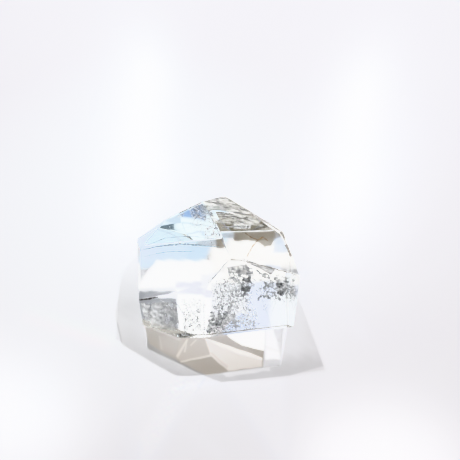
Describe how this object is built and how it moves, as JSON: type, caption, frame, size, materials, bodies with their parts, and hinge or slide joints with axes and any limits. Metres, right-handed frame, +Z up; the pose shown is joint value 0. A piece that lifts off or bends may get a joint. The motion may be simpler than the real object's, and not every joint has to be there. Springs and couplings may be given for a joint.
{
  "type": "clear quartz freeform",
  "caption": "Polished clear quartz stone with large flat facets, a sloping front and a flat base that it stands on.",
  "frame": {"origin": "middle of the stone's box, on the flat base", "axes": "+Z up, -Y towards the main front facet, +X to the right seen from the front"},
  "size_m": [0.0622, 0.0495, 0.032],
  "materials": {
    "clear_quartz": "polished natural rock crystal, colourless and see-through, with faint veils of tiny bubbles and healed cracks inside"
  },
  "bodies": {
    "root": {"quartz_freeform": "clear_quartz"}
  },
  "joints": []
}
